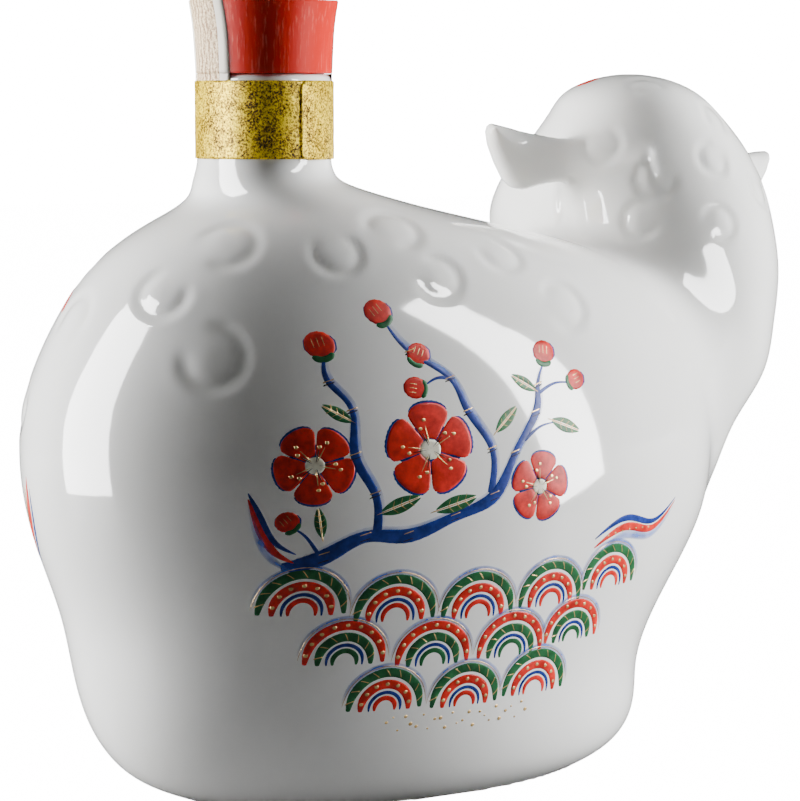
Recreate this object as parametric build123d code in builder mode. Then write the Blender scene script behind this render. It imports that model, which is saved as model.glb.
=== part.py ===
"""Figural liquor decanter: a seated sheep in white porcelain that looks back over its shoulder.

The hollow casting carries a short bottle neck on its back. A wooden-topped stopper closes the neck, a
foil label is wrapped round it, and a paper seal strip runs over the stopper and under the label.

Millimetres. +Z is up, +X runs from the rump to the chest, and the sheep's face looks along +Y.
The origin is the centre of the foot, on the surface that the decanter stands on.
"""

from build123d import *

import math
import os

# Casting
rump_reach = 72.3  # from the foot's centre back to the rump
chest_reach = 75.2  # from the foot's centre forward to the breast
half_width = 45.0  # of the barrel, to either side
back_height = 113.0  # of the shoulder round the bottle neck
wall = 5.5  # of the slip-cast porcelain
floor_thickness = 6.5

# Barrel, level by level: height, rear reach, front reach and half width
body_level_shares = (
    (0.000, 0.588, 0.605, 0.567),
    (0.020, 0.664, 0.669, 0.651),
    (0.071, 0.766, 0.745, 0.756),
    (0.173, 0.845, 0.758, 0.844),
    (0.300, 0.888, 0.838, 0.918),
    (0.433, 0.960, 0.956, 0.978),
    (0.567, 1.000, 0.994, 1.000),
    (0.693, 0.976, 1.000, 0.967),
    (0.803, 0.896, 0.918, 0.884),
    (0.890, 0.787, 0.665, 0.756),
    (0.953, 0.639, 0.273, 0.589),
)

# Bottle neck, on the back
neck_set_back = 24.2  # from the foot's centre to the neck's axis
neck_radius = 12.6
neck_rise = 23.1  # from the shoulder up to the lip's top face
bore_radius = 8.6
lip_round = 1.5
lip_steps = 3  # flats that the lip's rounded edge is made of
mouth_chamfer = 0.7
neck_root_rise = 5.0  # from the shoulder to where the neck's wall runs straight up
finish_step = 0.12  # by which the straight neck is proud of its root, under the label

# Neck's root: height above the shoulder as a share of the rise, then the reach to the rear and to the
# front and the half width as shares of the radius
neck_root_shares = (
    (-0.50, 1.32, 2.56, 1.79),
    (0.00, 1.09, 1.78, 1.48),
    (0.50, 1.04, 1.18, 1.18),
    (1.00, 1.03, 1.03, 1.03),
    (1.60, 1.00, 1.00, 1.00),
)

# Breast, throat and head, one form that rises from the front of the barrel
head_rise = 23.0  # from the shoulder up to the crown
head_overhang = 17.0  # from the breast forward to the front of the throat
head_half_width = 25.5
head_side_shift = 3.6  # towards the face

# Height, rear face and front face as shares of the head's reach, half width and shift
head_level_shares = (
    (0.235, 0.420, 0.620, 0.400, 0.0),
    (0.294, 0.370, 0.735, 0.600, 0.0),
    (0.353, 0.360, 0.803, 0.700, 0.0),
    (0.406, 0.360, 0.848, 0.775, 0.0),
    (0.485, 0.385, 0.905, 0.845, 0.0),
    (0.550, 0.408, 0.973, 0.906, 0.0),
    (0.628, 0.439, 0.994, 0.976, 0.0),
    (0.707, 0.462, 1.000, 1.000, 0.0),
    (0.772, 0.480, 0.998, 0.961, 0.3),
    (0.838, 0.479, 0.987, 0.873, 0.7),
    (0.896, 0.484, 0.947, 0.785, 1.0),
    (0.943, 0.512, 0.884, 0.665, 1.0),
    (0.979, 0.556, 0.816, 0.500, 1.0),
    (0.995, 0.618, 0.752, 0.280, 1.0),
    (1.000, 0.672, 0.700, 0.040, 1.0),
)

# Face, turned a quarter turn from the body. Sections run from inside the head out to the nose.
face_set_back = 31.7  # from the front of the throat back to the middle of the face
face_drop = 23.5  # from the crown down to the middle of the face
face_reach = 38.0  # of the nose, to the side that the sheep looks to
face_half_width = 16.8
face_half_height = 15.0
nose_drop = 7.5

# Reach, drop, half width and half height
face_section_shares = (
    (0.10, 0.00, 0.90, 0.95),
    (0.35, 0.05, 1.00, 1.00),
    (0.58, 0.30, 0.98, 0.92),
    (0.78, 0.65, 0.82, 0.74),
    (0.92, 0.90, 0.60, 0.53),
    (1.00, 1.00, 0.30, 0.26),
)

# Ears, a pair of drooping leaves along the head's width, tilted down to the front
ear_set_back = 28.0  # from the front of the throat back to the ears' middle
ear_reach = 35.6  # from the head's middle to the tip
ear_drop = 12.1  # from the tip down to the leaf's lower edge
ear_set_down = 13.4  # from the crown down to the line from tip to tip, at the middle
ear_half_depth = 3.0
ear_side_shift = 4.0  # towards the face
ear_tilt = 5.0  # degrees
ear_cheek = 0.80  # size of a leaf's front and back against its rim

# Lower edge of an ear, from the tip to the root: shares of the reach and of the drop
ear_edge_shares = (
    (1.00, 0.02),
    (0.98, -0.31),
    (0.93, -0.62),
    (0.86, -0.91),
    (0.77, -1.00),
    (0.65, -0.85),
    (0.47, -0.57),
    (0.25, -0.36),
)
ear_root_shares = (0.25, -0.10)

# Foot
foot_ring = 6.5  # width of the ring that the decanter stands on
foot_recess = 1.4  # depth of the underside inside the ring

# Stopper: a turned wooden cap on a hollow plastic plug
cap_height = 13.5
cap_foot_radius = 12.5
cap_rim_radius = 13.6
cap_edge = 0.3  # bevel of the rim's top edge
cap_gap = 0.05  # between the cap and the lip when the stopper is home

# Cap's side: height share, then the share of the flare from the foot's radius to the rim's
cap_side_shares = (
    (0.34, 0.16),
    (0.68, 0.48),
)
socket_radius = 7.0
socket_depth = 6.0
socket_clearance = 0.05  # of the plug's stem in the cap
plug_length = 18.0  # below the cap
plug_clearance = 0.05  # of the fins in the bore
plug_core_radius = 7.6
plug_wall = 1.5
plug_fins = 4
fin_height = 1.3
fin_pitch = 3.8
fin_first = 2.2  # from the cap down to the first fin
plug_nose = 1.4

# Paper seal strip, over the stopper in the plane of the sheep's length
strip_width = 13.0
paper = 0.15
strip_tail = 8.0  # length of the strip below the lip's rounded edge
tail_relief = 0.04  # between the strip and what lies over or under it

# Foil neck label
label_top_drop = 1.8  # from the lip down to the label's upper edge
label_width = 14.4
foil = 0.15
flap_start = 2.0  # degrees round from the sheep's right, where the outer end lies
flap_sweep = 62.0  # degrees of overlap
flap_corner = 1.3

overrun = 2.0  # by which a cut runs past what it cuts
oval_points = 8

lip_height = back_height + neck_rise
crown_height = back_height + head_rise
face_height = crown_height - face_drop
ear_height = crown_height - ear_set_down
head_reach = chest_reach + head_overhang
face_centre = head_reach - face_set_back
ear_centre = head_reach - ear_set_back
neck_x = -neck_set_back
neck_axis = Axis((neck_x, 0, 0), (0, 0, 1))
cap_seat = lip_height + cap_gap
os.makedirs("parts", exist_ok=True)


def oval_loft(sections):
    """Solid lofted through closed ovals, each (plane at the oval's centre, half length, half width)."""
    with BuildPart() as form:
        for plane, half_length, half_across in sections:
            with BuildSketch(plane):
                with BuildLine():
                    ring = []
                    for k in range(oval_points):
                        angle = 2 * math.pi * k / oval_points
                        ring.append((half_length * math.cos(angle), half_across * math.sin(angle)))
                    Spline(*ring, periodic=True)
                make_face()
        loft()
    return form.part


def level(height, rear, front, half, side):
    """One horizontal oval from its rear and front reach."""
    return (Plane(origin=((rear + front) / 2, side, height)), (front - rear) / 2, half)


def body_sections(inset, floor, neck_r):
    """Levels of the barrel. The inner form is set in by the wall, and its back lies a wall lower."""
    rise = (back_height - inset - floor) / back_height
    sections = []
    for height, rear, front, half in body_level_shares:
        sections.append(
            level(
                floor + height * back_height * rise,
                inset - rear * rump_reach,
                front * chest_reach - inset,
                half * half_width - inset,
                0,
            )
        )
    for height, rear, front, half in neck_root_shares:
        sections.append(
            level(
                back_height - inset + height * neck_root_rise,
                neck_x - rear * neck_r,
                neck_x + front * neck_r,
                half * neck_r,
                0,
            )
        )
    return sections


def head_sections(inset):
    """Levels of the breast, throat and head, as far up as the inset leaves room for them."""
    sections = []
    for height, rear, front, half, shift in head_level_shares:
        room = min(half * head_half_width, (front - rear) * head_reach / 2)
        if room > 2 * inset:
            sections.append(
                level(
                    height * (crown_height - inset),
                    rear * head_reach + inset,
                    front * head_reach - inset,
                    half * head_half_width - inset,
                    shift * head_side_shift,
                )
            )
    return sections


def face_sections():
    """Upright ovals across the face, from inside the head to the nose."""
    sections = []
    for reach, drop, half, rise in face_section_shares:
        centre = (face_centre, reach * face_reach, face_height - drop * nose_drop)
        plane = Plane(origin=centre, x_dir=(1, 0, 0), z_dir=(0, 1, 0))
        sections.append((plane, half * face_half_width, rise * face_half_height))
    return sections


def ear_leaf(side):
    """One ear: a flat leaf, thickest in its middle and brought to a crisp rim. The side is -1 to the rear."""
    tilt = math.radians(ear_tilt)
    out = (side * math.cos(tilt), 0, -side * math.sin(tilt))
    edge = ear_edge_shares + (ear_root_shares,)
    middle_reach = sum(reach for reach, _ in edge) / len(edge)
    middle_drop = sum(drop for _, drop in edge) / len(edge)
    with BuildPart() as leaf:
        for depth, size in ((-1, ear_cheek), (0, 1), (1, ear_cheek)):
            origin = (ear_centre, ear_side_shift + depth * ear_half_depth, ear_height)
            with BuildSketch(Plane(origin=origin, x_dir=out, z_dir=(0, -side, 0))):
                with BuildLine():
                    points = []
                    for reach, drop in edge:
                        points.append(
                            (
                                (middle_reach + size * (reach - middle_reach)) * ear_reach,
                                (middle_drop + size * (drop - middle_drop)) * ear_drop,
                            )
                        )
                    Spline(*points[:-1])
                    Polyline(points[-2], points[-1], points[0])
                make_face()
        loft(ruled=True)
    return leaf.part


# Porcelain casting: barrel, breast and head, face, ears, and the bottle neck on the back
outer_barrel = oval_loft(body_sections(0, 0, neck_radius - finish_step))
outer_head = oval_loft(head_sections(0))
face = oval_loft(face_sections())
rear_ear = ear_leaf(-1)
front_ear = ear_leaf(1)
inner_barrel = oval_loft(body_sections(wall, floor_thickness, bore_radius - finish_step))
inner_head = oval_loft(head_sections(wall))
neck_start = back_height + neck_root_shares[-1][0] * neck_root_rise
bore_start = neck_start - wall

with BuildPart() as neck_finish:
    with BuildSketch(Plane(origin=(neck_x, 0, 0), x_dir=(1, 0, 0), z_dir=(0, -1, 0))):
        with BuildLine():
            rounded = []
            for k in range(lip_steps + 1):
                turn = math.pi / 2 * k / lip_steps
                rounded.append(
                    (
                        neck_radius - lip_round * (1 - math.cos(turn)),
                        lip_height - lip_round * (1 - math.sin(turn)),
                    )
                )
            Polyline(
                (bore_radius, neck_start),
                (neck_radius, neck_start),
                *rounded,
                (bore_radius + mouth_chamfer, lip_height),
                (bore_radius, lip_height - mouth_chamfer),
                close=True,
            )
        make_face()
    revolve(axis=neck_axis)

# Hollow inside, and the bore up through the neck
with BuildPart() as hollow:
    add(inner_barrel)
    add(inner_head)
    with BuildSketch(Plane.XY.offset(bore_start)):
        with Locations((neck_x, 0)):
            Circle(bore_radius)
    extrude(amount=neck_start + overrun - bore_start)

with BuildPart() as porcelain_body:
    add(outer_barrel)
    add(outer_head)
    add(face)
    add(rear_ear)
    add(front_ear)
    add(neck_finish.part)
    add(hollow.part, mode=Mode.SUBTRACT)

    # Underside, hollowed a little inside the ring that it stands on
    _, base_rear, base_front, base_half = body_level_shares[0]
    base_middle = (base_front * chest_reach - base_rear * rump_reach) / 2
    base_length = (base_front * chest_reach + base_rear * rump_reach) / 2
    with BuildSketch(Plane.XY):
        with Locations((base_middle, 0)):
            Ellipse(base_length - foot_ring, base_half * half_width - foot_ring)
    extrude(amount=foot_recess, mode=Mode.SUBTRACT)
porcelain_body.part.label = "porcelain_body"
export_step(porcelain_body.part, "parts/porcelain_body.step")

# Turned cap, flared to a crisp rim, with a blind socket for the plug's stem
with BuildPart() as stopper_cap:
    with BuildSketch(Plane(origin=(neck_x, 0, cap_seat), x_dir=(1, 0, 0), z_dir=(0, -1, 0))) as cap_profile:
        with BuildLine():
            flare = cap_rim_radius - cap_foot_radius
            side_points = [(cap_foot_radius, 0)]
            for height, out in cap_side_shares:
                side_points.append((cap_foot_radius + out * flare, height * cap_height))
            side_points.append((cap_rim_radius, cap_height - cap_edge))
            side_points.append((cap_rim_radius - cap_edge, cap_height))
            Polyline(*side_points, (0, cap_height), (0, 0), close=True)
        make_face()
    revolve(axis=neck_axis)
    with BuildSketch(Plane.XY.offset(cap_seat)):
        with Locations((neck_x, 0)):
            Circle(socket_radius)
    extrude(amount=socket_depth, mode=Mode.SUBTRACT)
stopper_cap.part.label = "stopper_cap"
export_step(stopper_cap.part, "parts/stopper_cap.step")

# Plug: stem in the cap's socket, a hollow core below it and fins that fit the bore
with BuildPart() as stopper_plug:
    with BuildSketch(Plane.XY.offset(cap_seat)):
        with Locations((neck_x, 0)):
            Circle(socket_radius - socket_clearance)
    extrude(amount=socket_depth - socket_clearance)
    with BuildSketch(Plane.XY.offset(cap_seat)):
        with Locations((neck_x, 0)):
            Circle(plug_core_radius)
    extrude(amount=-plug_length)
    for k in range(plug_fins):
        with BuildSketch(Plane.XY.offset(cap_seat - fin_first - k * fin_pitch)):
            with Locations((neck_x, 0)):
                Circle(bore_radius - plug_clearance)
        extrude(amount=-fin_height)
    nose_edge = stopper_plug.faces().sort_by(Axis.Z)[0].edges()
    chamfer(nose_edge, plug_nose)
    with BuildSketch(Plane.XY.offset(cap_seat - plug_length)):
        with Locations((neck_x, 0)):
            Circle(plug_core_radius - plug_nose - plug_wall / 2)
    extrude(amount=plug_length - plug_wall, mode=Mode.SUBTRACT)
stopper_plug.part.label = "stopper_plug"
export_step(stopper_plug.part, "parts/stopper_plug.step")


def strip_outline(gap):
    """Half outline of the cap, grown by a gap: points up the side from the foot to the rim."""
    points = [(cap_foot_radius + gap, 0)]
    for height, out in cap_side_shares:
        points.append((cap_foot_radius + out * (cap_rim_radius - cap_foot_radius) + gap, height * cap_height))
    points.append((cap_rim_radius + gap, cap_height + gap))
    return points


# Seal strip over the cap: up one side, across the top and down the other, to the lip's level
with BuildPart() as seal_strip_cap:
    for gap, mode in ((tail_relief + paper, Mode.ADD), (tail_relief, Mode.SUBTRACT)):
        with BuildSketch(Plane(origin=(neck_x, 0, cap_seat), x_dir=(1, 0, 0), z_dir=(0, -1, 0))):
            with BuildLine():
                outline = strip_outline(gap)
                Polyline(*outline, (0, cap_height + gap), (0, 0), close=True)
            make_face()
        revolve(axis=neck_axis, mode=mode)
    with Locations((neck_x, 0, cap_seat + cap_height / 2)):
        Box(
            2 * cap_rim_radius + overrun,
            strip_width,
            cap_height + overrun,
            mode=Mode.INTERSECT,
        )
seal_strip_cap.part.label = "seal_strip_cap"
export_step(seal_strip_cap.part, "parts/seal_strip_cap.step")


def seal_tail(side):
    """One end of the strip on the neck, below the lip's rounded edge and under the label."""
    align = (Align.MAX, Align.CENTER) if side < 0 else (Align.MIN, Align.CENTER)
    with BuildPart() as tail:
        with BuildSketch(Plane.XY.offset(lip_height - lip_round)):
            with Locations((neck_x, 0)):
                Circle(neck_radius + tail_relief + paper)
                Circle(neck_radius + tail_relief, mode=Mode.SUBTRACT)
                Rectangle(neck_radius + overrun, strip_width, align=align, mode=Mode.INTERSECT)
        extrude(amount=-strip_tail)
    return tail.part


with BuildPart() as seal_tail_rear:
    add(seal_tail(-1))
seal_tail_rear.part.label = "seal_tail_rear"
export_step(seal_tail_rear.part, "parts/seal_tail_rear.step")

with BuildPart() as seal_tail_front:
    add(seal_tail(1))
seal_tail_front.part.label = "seal_tail_front"
export_step(seal_tail_front.part, "parts/seal_tail_front.step")

# Foil label: one turn round the neck, and the flap where its outer end laps over
label_radius = neck_radius + paper + 2 * tail_relief
label_top = lip_height - label_top_drop
flap_angle = math.radians(flap_start) - math.pi / 2
flap_out = (math.cos(flap_angle), math.sin(flap_angle), 0)
flap_normal = (math.sin(flap_angle), -math.cos(flap_angle), 0)
with BuildPart() as neck_label:
    with BuildSketch(Plane(origin=(neck_x, 0, label_top), x_dir=flap_out, z_dir=flap_normal)):
        with Locations((label_radius + foil, 0)):
            Rectangle(foil, label_width, align=(Align.MIN, Align.MAX))
    revolve(axis=neck_axis, revolution_arc=flap_sweep)
    end_faces = neck_label.faces().filter_by(GeomType.PLANE).group_by(Axis.X)
    corner_edges = end_faces[0].edges().filter_by(Axis((0, 0, 0), flap_out))
    fillet(corner_edges, flap_corner)
    with BuildSketch(Plane.XY.offset(label_top)):
        with Locations((neck_x, 0)):
            Circle(label_radius + foil)
            Circle(label_radius, mode=Mode.SUBTRACT)
    extrude(amount=-label_width)
neck_label.part.label = "neck_label"
export_step(neck_label.part, "parts/neck_label.step")

print("capacity, ml:", (inner_barrel + inner_head).volume / 1000)
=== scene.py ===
import math

import bpy
import numpy as np
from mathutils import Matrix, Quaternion, Vector
from mathutils.bvhtree import BVHTree


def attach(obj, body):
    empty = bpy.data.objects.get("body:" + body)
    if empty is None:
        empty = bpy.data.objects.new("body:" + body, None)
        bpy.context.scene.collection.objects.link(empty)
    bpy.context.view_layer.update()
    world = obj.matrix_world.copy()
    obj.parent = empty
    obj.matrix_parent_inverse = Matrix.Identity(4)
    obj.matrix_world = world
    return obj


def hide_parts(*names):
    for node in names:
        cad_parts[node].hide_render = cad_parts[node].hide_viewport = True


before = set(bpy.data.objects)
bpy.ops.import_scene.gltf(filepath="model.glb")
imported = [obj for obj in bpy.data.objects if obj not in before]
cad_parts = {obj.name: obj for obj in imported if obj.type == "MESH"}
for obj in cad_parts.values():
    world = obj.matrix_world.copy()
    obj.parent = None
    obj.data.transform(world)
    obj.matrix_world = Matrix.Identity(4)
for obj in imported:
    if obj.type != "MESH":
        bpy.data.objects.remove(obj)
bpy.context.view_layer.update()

# Porcelain casting: a hollow slip-cast sheep, glazed white all over but for the ring it stands on.
# Barrel, throat and head, face and ears came out of one mould, so each form flows into the next.
# Wool curls are pressed into the back, the throat and the crown.
mm = 0.001
neck_x, neck_r = -24.2, 12.6
neck_root_z, lip_z, lip_round = 112, 135.6, 1.5
bore_r = 8.6
wall = 5.5
face_x = 60.5
ear_x, ear_y, ear_z = 64.2, 4.0, 122.6
ear_tilt = math.radians(5.0)


def read_table(rows):
    """Natural cubic through a table: returns a function that gives values and slopes."""
    rows = np.array(rows, float)
    x, y = rows[:, 0], rows[:, 1:]
    count = len(x)
    step = np.diff(x)
    system = np.eye(count)
    right = np.zeros_like(y)
    for i in range(1, count - 1):
        system[i, i - 1 : i + 2] = step[i - 1], 2 * (step[i - 1] + step[i]), step[i]
        right[i] = 6 * ((y[i + 1] - y[i]) / step[i] - (y[i] - y[i - 1]) / step[i - 1])
    bend = np.linalg.solve(system, right)

    def read(t):
        inside = np.clip(t, x[0], x[-1])
        i = np.clip(np.searchsorted(x, inside) - 1, 0, count - 2)
        h = step[i][:, None]
        a = ((x[i + 1] - inside) / step[i])[:, None]
        b = 1 - a
        value = a * y[i] + b * y[i + 1] + ((a**3 - a) * bend[i] + (b**3 - b) * bend[i + 1]) * h * h / 6
        slope = (y[i + 1] - y[i]) / h + ((3 * b * b - 1) * bend[i + 1] - (3 * a * a - 1) * bend[i]) * h / 6
        return value + slope * (t - inside)[:, None], slope

    return read, x[0], x[-1]


def oval_rows(rows):
    """Turns rows of (along, centre 1, half 1, centre 2, half 2) into centres, aspect and product."""
    return [(t, c1, c2, h2 / h1, h1 * h2) for t, c1, h1, c2, h2 in rows]


# Height, then centre and half size along X, then centre and half size across
barrel_rows = (
    (0, 1.49, 44, 0, 25.5),
    (2.26, 1.15, 49.15, 0, 29.3),
    (8.02, 0.3, 55.7, 0, 34),
    (19.55, -2.05, 59.05, 0, 38),
    (33.9, -0.6, 63.6, 0, 41.3),
    (48.9, 1.25, 70.65, 0, 44),
    (64.1, 1.2, 73.5, 0, 45),
    (78.3, 2.3, 72.9, 0, 43.5),
    (90.7, 2.1, 66.9, 0, 39.8),
    (100.6, -3.45, 53.45, 0, 34),
    (107.7, -12.85, 33.35, 0, 26.5),
    (110.5, -16.5, 24.2, 0, 22.3),
    (113, -19.9, 17.9, 0, 18.5),
    (115.5, -23.4, 14.1, 0, 14.6),
    (117.6, -24.15, 12.98, 0, 13),
    (120, -24.2, 12.4, 0, 12.4),
)
head_rows = (
    (31.96, 48.4, 11.5, 0, 11.5),
    (39.98, 50.95, 16.85, 0, 15.3),
    (48, 53.6, 20.4, 0, 17.85),
    (55.2, 55.7, 22.5, 0, 19.8),
    (65.96, 59.45, 23.95, 0, 21.5),
    (74.8, 63.65, 26.05, 0, 23.1),
    (85.4, 66.05, 25.55, 0, 24.9),
    (96.2, 67.4, 24.8, 0, 25.5),
    (105, 68.15, 23.85, 1.1, 24.5),
    (114, 67.6, 23.4, 2.5, 22.3),
    (121.9, 65.95, 21.35, 3.6, 20),
    (128.2, 64.35, 17.15, 3.6, 17),
    (133.1, 63.25, 11.95, 3.6, 12.4),
    (135.3, 63.15, 6.15, 3.6, 6.5),
    (136, 63.15, 1.25, 3.6, 1.3),
)
# Reach along Y, then centre and half size along X, then centre and half size upwards
face_rows = (
    (3.8, face_x, 15.1, 112.5, 14.25),
    (13.3, face_x, 16.8, 112.1, 15),
    (22, face_x, 16.5, 110.25, 13.8),
    (29.6, face_x, 13.8, 107.6, 11.1),
    (35, face_x, 10.1, 105.75, 7.95),
    (38, face_x, 5, 105, 3.9),
)
# Outline of an ear: reach along it and height from the line through both tips
ear_outline = (
    (10, -3.4), (20, -1.6), (27.7, -0.6), (32.6, 0.3), (35.2, 0.6),
    (35.6, -1.2), (34.9, -3.8), (33.1, -7.3), (31.2, -10.3), (29.4, -11.8),
    (27.2, -12.1), (24.4, -10.9), (20.9, -9.6), (16, -8.4), (10, -6.6),
)
barrel_table = read_table(oval_rows(barrel_rows))
head_table = read_table(oval_rows(head_rows))
face_table = read_table(oval_rows(face_rows))


def oval_distance(table, along, one, two):
    """Signed distance, near enough, to a form of stacked ovals. Negative is inside."""
    read, low, high = table
    value, slope = read(np.clip(along, low, high))
    c1, c2, aspect, product = value.T
    s1, s2, aspect_slope, product_slope = slope.T
    aspect = np.maximum(aspect, 0.05)
    d1, d2 = one - c1, two - c2
    level = aspect * d1**2 + d2**2 / aspect - product
    g1 = 2 * aspect * d1
    g2 = 2 * d2 / aspect
    g3 = aspect_slope * (d1**2 - (d2 / aspect) ** 2) - g1 * s1 - g2 * s2 - product_slope
    distance = level / np.sqrt(g1**2 + g2**2 + g3**2 + 1.0)
    return np.maximum(distance, np.maximum(low - along, along - high))


def melt(a, b, radius):
    """Union of two forms with a rounded seam."""
    h = np.clip(0.5 + 0.5 * (b - a) / radius, 0, 1)
    return b * (1 - h) + a * h - radius * h * (1 - h)


def rounded(out, over, radius):
    """Distance to a form with two faces that meet in a rounded edge, from the distance past each."""
    return np.hypot(np.maximum(out, 0), np.maximum(over, 0)) + np.minimum(np.maximum(out, over), 0) - radius


def ear_lean(reach):
    """How far an ear's root lies towards the painted side of its tip."""
    return 0.028 * np.maximum(35 - reach, 0) ** 2


def ear_frame(p, side):
    """Reach along an ear, depth and height from the line through both tips."""
    dx, dz = p[:, 0] - ear_x, p[:, 2] - ear_z
    reach = side * (dx * math.cos(ear_tilt) - dz * math.sin(ear_tilt))
    return reach, p[:, 1] - ear_y, dx * math.sin(ear_tilt) + dz * math.cos(ear_tilt)


def ear_distance(p, side):
    """Signed distance to a leaf-shaped ear, thin at its rim and fuller in its middle."""
    distance = np.full(len(p), 30.0)
    reach, depth, rise = ear_frame(p, side)
    near = (reach > 4) & (reach < 40) & (np.abs(depth) < 28) & (np.abs(rise + 6) < 14)
    reach, depth, rise = reach[near], depth[near], rise[near]
    gap = np.full(len(reach), 1e9)
    inside = np.zeros(len(reach), bool)
    for (r1, h1), (r2, h2) in zip(ear_outline, ear_outline[1:] + ear_outline[:1]):
        er, eh = r2 - r1, h2 - h1
        t = np.clip(((reach - r1) * er + (rise - h1) * eh) / (er * er + eh * eh), 0, 1)
        gap = np.minimum(gap, np.hypot(reach - r1 - t * er, rise - h1 - t * eh))
        if h1 != h2:
            inside ^= ((h1 > rise) != (h2 > rise)) & (reach < (rise - h1) / eh * er + r1)
    edge = np.where(inside, -gap, gap)
    fuller = 1.5 + 2.0 * (1 - np.exp(np.minimum(edge, 0) / 2.6))
    depth = depth + ear_lean(reach)
    rim = 1.4
    out, over = edge + rim, np.abs(depth) - fuller + rim
    distance[near] = rounded(out, over, rim)
    return distance


def casting_distance(p):
    """The whole outer skin of the casting, before its curls."""
    x, y, z = p.T
    barrel = oval_distance(barrel_table, z, x, y)
    head = oval_distance(head_table, z, x, y)
    seam = 2.5 + 5.0 * np.clip((z - 62) / 18, 0, 1)
    skin = melt(barrel, head, seam)
    skin = melt(skin, oval_distance(face_table, y, x, z), 5.0)
    for side in (-1, 1):
        skin = melt(skin, ear_distance(p, side), 3.6)
    out = np.hypot(x - neck_x, y) - (neck_r - lip_round)
    up = np.abs(z - (lip_z + neck_root_z) / 2) - (lip_z - neck_root_z) / 2 + lip_round
    skin = melt(skin, rounded(out, up, lip_round), 0.25)
    return np.maximum(skin, -z)


def slope_of(field, p, step=0.05):
    """Gradient of a field at many points."""
    slope = np.empty_like(p)
    for axis in range(3):
        offset = np.zeros(3)
        offset[axis] = step
        slope[:, axis] = (field(p + offset) - field(p - offset)) / (2 * step)
    return slope


def placed(name, data):
    """Object in the scene for this mesh, light or camera."""
    piece = bpy.data.objects.new(name, data)
    bpy.context.scene.collection.objects.link(piece)
    return piece


def new_mesh(name, points, faces, smooth=True):
    """Object whose mesh holds these points, given in millimetres."""
    mesh = bpy.data.meshes.new(name)
    mesh.from_pydata((np.asarray(points) * mm).tolist(), [], faces)
    mesh.update()
    mesh.polygons.foreach_set("use_smooth", [smooth] * len(mesh.polygons))
    return placed(name, mesh)


def ring_faces(rings, around, closed=True):
    """Quads between stacked rings of points, with a cap at each end if the form is closed."""
    faces = []
    for r in range(rings - 1):
        for k in range(around):
            a, b = r * around + k, r * around + (k + 1) % around
            faces.append((a, b, b + around, a + around))
    if closed:
        faces.append(tuple(reversed(range(around))))
        faces.append(tuple((rings - 1) * around + k for k in range(around)))
    return faces


def angles_round(around=64):
    """Angles of this many points round a circle."""
    return np.linspace(0, 2 * math.pi, around, endpoint=False)


def neck_circle(r, z, around=64):
    """Points of a level circle about the neck's axis."""
    return [(neck_x + r * math.cos(a), r * math.sin(a), z) for a in angles_round(around)]


def stacked_ovals(table, place, levels, high=None):
    """Points of a closed form of ovals. The function puts (along, one, two) in its place."""
    read, first, last = table
    along = np.linspace(first, high or last, levels)
    value, _ = read(along)
    points = []
    for t, (c1, c2, aspect, product) in zip(along, value):
        product = max(product, 0.01)
        h1, h2 = math.sqrt(product / aspect), math.sqrt(product * aspect)
        points += [place(t, c1 + h1 * math.cos(a), c2 + h2 * math.sin(a)) for a in angles_round()]
    return points, ring_faces(levels, 64)


def ear_place(side):
    """Function that puts a point of an ear's own (reach, depth, height) in its place."""

    def place(t, depth, height):
        dx = side * t * math.cos(ear_tilt) + height * math.sin(ear_tilt)
        dz = -side * t * math.sin(ear_tilt) + height * math.cos(ear_tilt)
        return (ear_x + dx, ear_y + depth - ear_lean(t), ear_z + dz)

    return place


def flattened(source, name):
    """Plain mesh object of another with its modifiers worked in."""
    graph = bpy.context.evaluated_depsgraph_get()
    graph.update()
    mesh = bpy.data.meshes.new_from_object(source.evaluated_get(graph))
    mesh.name = name
    piece = placed(name, mesh)
    bpy.data.objects.remove(source)
    return piece


forms = [
    stacked_ovals(barrel_table, lambda t, a, b: (a, b, t), 80),
    stacked_ovals(head_table, lambda t, a, b: (a, b, t), 60),
    stacked_ovals(face_table, lambda t, a, b: (a, t, b), 30),
]
for side in (-1, 1):
    place = ear_place(side)
    blade = [place(r, d, h) for d in (-2.6, 2.6) for r, h in ear_outline]
    forms.append((blade, ring_faces(2, len(ear_outline))))
forms.append((neck_circle(neck_r, neck_root_z) + neck_circle(neck_r, lip_z), ring_faces(2, 64)))
all_points, all_faces = [], []
for points, faces in forms:
    offset = len(all_points)
    all_points += points
    all_faces += [tuple(i + offset for i in face) for face in faces]
rough = new_mesh("rough", all_points, all_faces)
remesh = rough.modifiers.new("remesh", "REMESH")
remesh.mode = "VOXEL"
remesh.voxel_size = 0.88 * mm
skin = flattened(rough, "skin")
relax = skin.modifiers.new("relax", "SMOOTH")
relax.factor = 0.5
relax.iterations = 8
skin = flattened(skin, "skin")

count = len(skin.data.vertices)
flat = np.empty(count * 3)
skin.data.vertices.foreach_get("co", flat)
shell = flat.reshape(-1, 3) / mm
least_slope = 0.05
for _ in range(12):
    slope = slope_of(casting_distance, shell)
    size = np.maximum((slope**2).sum(axis=1), least_slope)
    shell -= slope * np.clip(casting_distance(shell) / size, -0.8, 0.8)[:, None]
normal = slope_of(casting_distance, shell)
normal /= np.maximum(np.linalg.norm(normal, axis=1, keepdims=True), 1e-6)

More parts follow.
